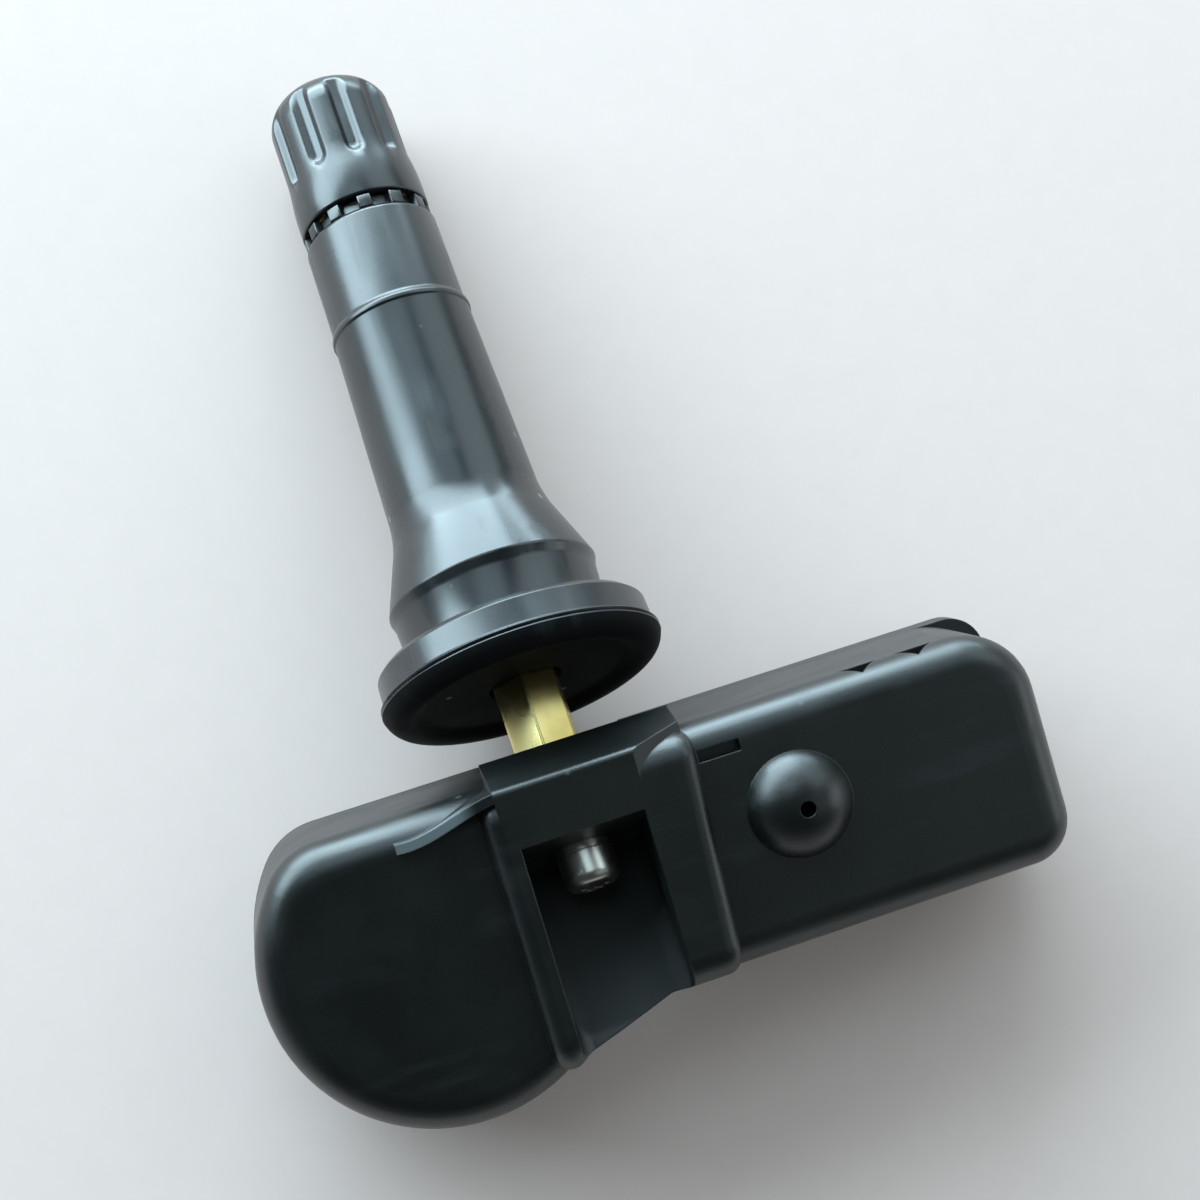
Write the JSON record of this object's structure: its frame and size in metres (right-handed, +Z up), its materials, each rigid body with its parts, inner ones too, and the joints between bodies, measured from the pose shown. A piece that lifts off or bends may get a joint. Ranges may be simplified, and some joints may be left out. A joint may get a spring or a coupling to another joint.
{
  "type": "tyre pressure sensor",
  "caption": "Snap-in rubber tyre valve with a screw-on cap and a black plastic pressure sensor clamped to its brass end, for mounting in a wheel rim's valve hole.",
  "frame": {"origin": "on the floor under the middle of the bounding box, with the sensor lying at rest", "axes": "+Z up; +X along the housing from its round lobe to its block; +Y in plan from the housing to the valve cap"},
  "size_m": [0.0566, 0.0766, 0.0212],
  "materials": {
    "shell_plastic": "fine-grained black moulding",
    "cover_plastic": "plain black moulding",
    "valve_rubber": "smooth satin black rubber",
    "brass": "turned bright brass",
    "cap_plastic": "satin black moulding",
    "seal_rubber": "soft black rubber",
    "core_brass": "turned brass",
    "gasket_plastic": "red sealing ring",
    "spring_steel": "drawn steel wire",
    "screw_steel": "nickel-plated steel",
    "board_green": "solder-masked glass laminate",
    "cell_steel": "nickel-plated steel can",
    "tab_nickel": "rolled nickel strip",
    "chip_black": "moulded epoxy",
    "crystal_can": "plated metal lid",
    "capacitor_tan": "fired ceramic",
    "ferrite": "sintered ferrite",
    "copper_wire": "enamelled copper",
    "antenna_tin": "tinned wire"
  },
  "bodies": {
    "sensor": {"housing": "shell_plastic", "back_cover": "cover_plastic", "valve_rubber": "valve_rubber", "valve_stem": "brass", "core_body": "core_brass", "core_gasket": "gasket_plastic", "core_spring": "spring_steel", "mounting_screw": "screw_steel", "screw_washer": "screw_steel", "circuit_board": "board_green", "battery_cell": "cell_steel", "battery_tab_minus": "tab_nickel", "battery_tab_plus": "tab_nickel", "pressure_sensor": "chip_black", "port_seal": "seal_rubber", "timing_crystal": "crystal_can", "controller_chip": "chip_black", "chip_capacitors": "capacitor_tan", "coil_ferrite": "ferrite", "coil_wire": "copper_wire", "radio_antenna": "antenna_tin"},
    "cap_washer": {"cap_seal": "seal_rubber"},
    "cap": {"valve_cap": "cap_plastic"},
    "valve_pin": {"core_pin": "core_brass", "plunger_seal": "seal_rubber"}
  },
  "joints": [
    {"name": "cap_lift", "type": "slide", "parent": "sensor", "child": "cap_washer", "axis": [0, 0.99, -0.1412], "range_m": [0, 0.00873]},
    {"name": "cap_turn", "type": "hinge", "parent": "cap_washer", "child": "cap", "pos_m": [-0.00483, 0.02655, 0.00589], "axis": [0, 0.99, -0.1412], "range_deg": [0, 3960]},
    {"name": "core_pin_press", "type": "slide", "parent": "sensor", "child": "valve_pin", "axis": [0, -0.99, 0.1412], "range_m": [0, 0.0013], "stiffness_N_per_m": 600, "springref_m": -0.002, "deforming": ["core_spring"]}
  ],
  "couplings": [
    {"joint": "cap_turn", "follows": "cap_lift", "rad_per_m": 7915.8}
  ]
}
